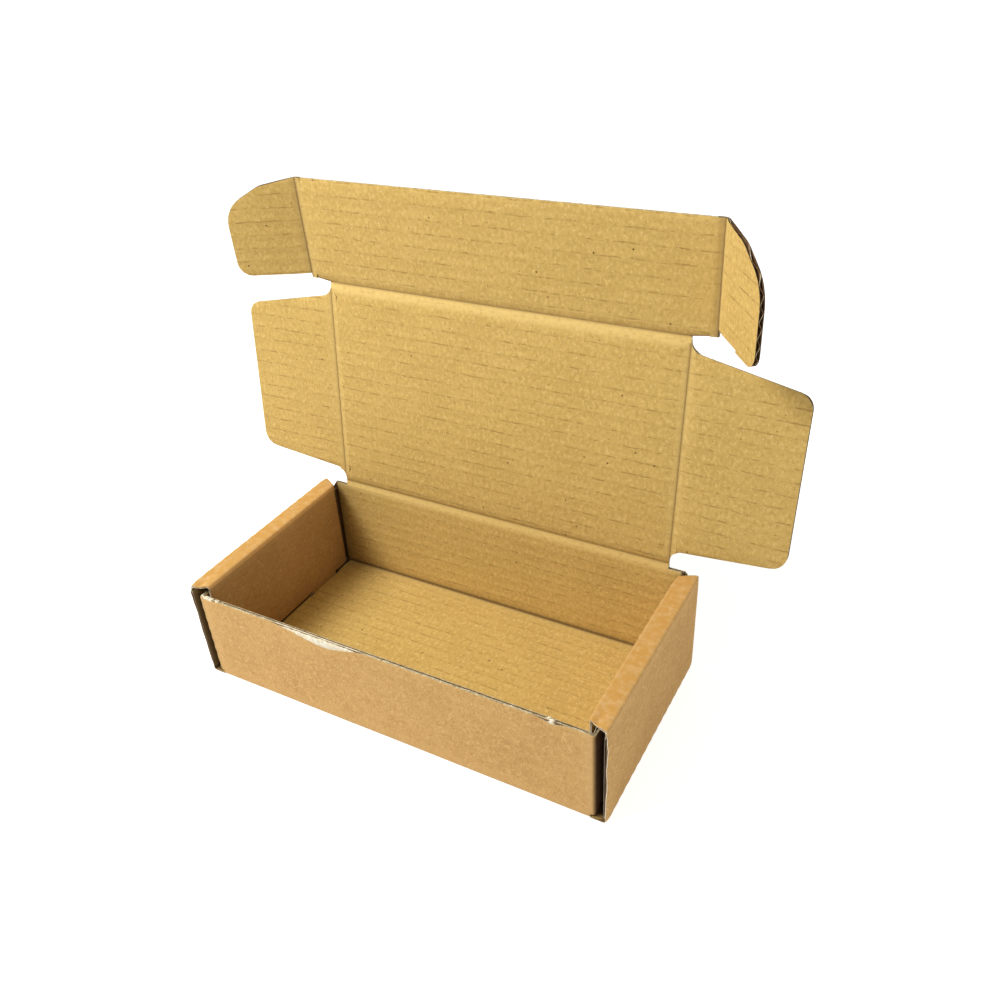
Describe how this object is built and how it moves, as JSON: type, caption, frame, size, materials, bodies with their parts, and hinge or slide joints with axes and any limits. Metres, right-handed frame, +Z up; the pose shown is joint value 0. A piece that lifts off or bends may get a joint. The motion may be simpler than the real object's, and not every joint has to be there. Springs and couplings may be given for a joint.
{
  "type": "corrugated mailer box",
  "caption": "Folded corrugated board box with rolled side walls, its hinged lid open with side flaps, tuck flap and locking ears",
  "frame": {"origin": "middle of the tray's underside", "axes": "+X to the right along the front wall, +Y to the back, where the lid is hinged, +Z up"},
  "size_m": [0.2918, 0.1224, 0.2155],
  "materials": {
    "board": "brown kraft corrugated board, matt, with faint flute lines"
  },
  "bodies": {
    "tray": {"tray": "board"},
    "lid": {"lid": "board"},
    "lid_flap_left": {"lid_flap_left": "board"},
    "lid_flap_right": {"lid_flap_right": "board"},
    "tuck": {"tuck_flap": "board"},
    "tuck_ear_left": {"tuck_ear_left": "board"},
    "tuck_ear_right": {"tuck_ear_right": "board"}
  },
  "joints": [
    {"name": "lid_hinge", "type": "hinge", "parent": "tray", "child": "lid", "pos_m": [0, 0.05432, 0.057], "axis": [1, 0, 0], "range_deg": [-103.5, 96.5]},
    {"name": "tuck_hinge", "type": "hinge", "parent": "lid", "child": "tuck", "pos_m": [0, 0.06547, 0.16546], "axis": [1, 0, 0], "range_deg": [-8.7, 81.3]},
    {"name": "lid_flap_left_hinge", "type": "hinge", "parent": "lid", "child": "lid_flap_left", "pos_m": [-0.09305, 0.05313, 0.05714], "axis": [0, 0.1132, 0.9936], "range_deg": [-2.2, 87.8]},
    {"name": "lid_flap_right_hinge", "type": "hinge", "parent": "lid", "child": "lid_flap_right", "pos_m": [0.09305, 0.05313, 0.05714], "axis": [0, -0.1132, -0.9936], "range_deg": [-2.2, 87.8]},
    {"name": "tuck_ear_left_hinge", "type": "hinge", "parent": "tuck", "child": "tuck_ear_left", "pos_m": [-0.1035, 0.06547, 0.16546], "axis": [0, -0.0384, 0.9993], "range_deg": [-24, 66]},
    {"name": "tuck_ear_right_hinge", "type": "hinge", "parent": "tuck", "child": "tuck_ear_right", "pos_m": [0.1035, 0.06547, 0.16546], "axis": [0, 0.0384, -0.9993], "range_deg": [-51.3, 38.7]}
  ]
}
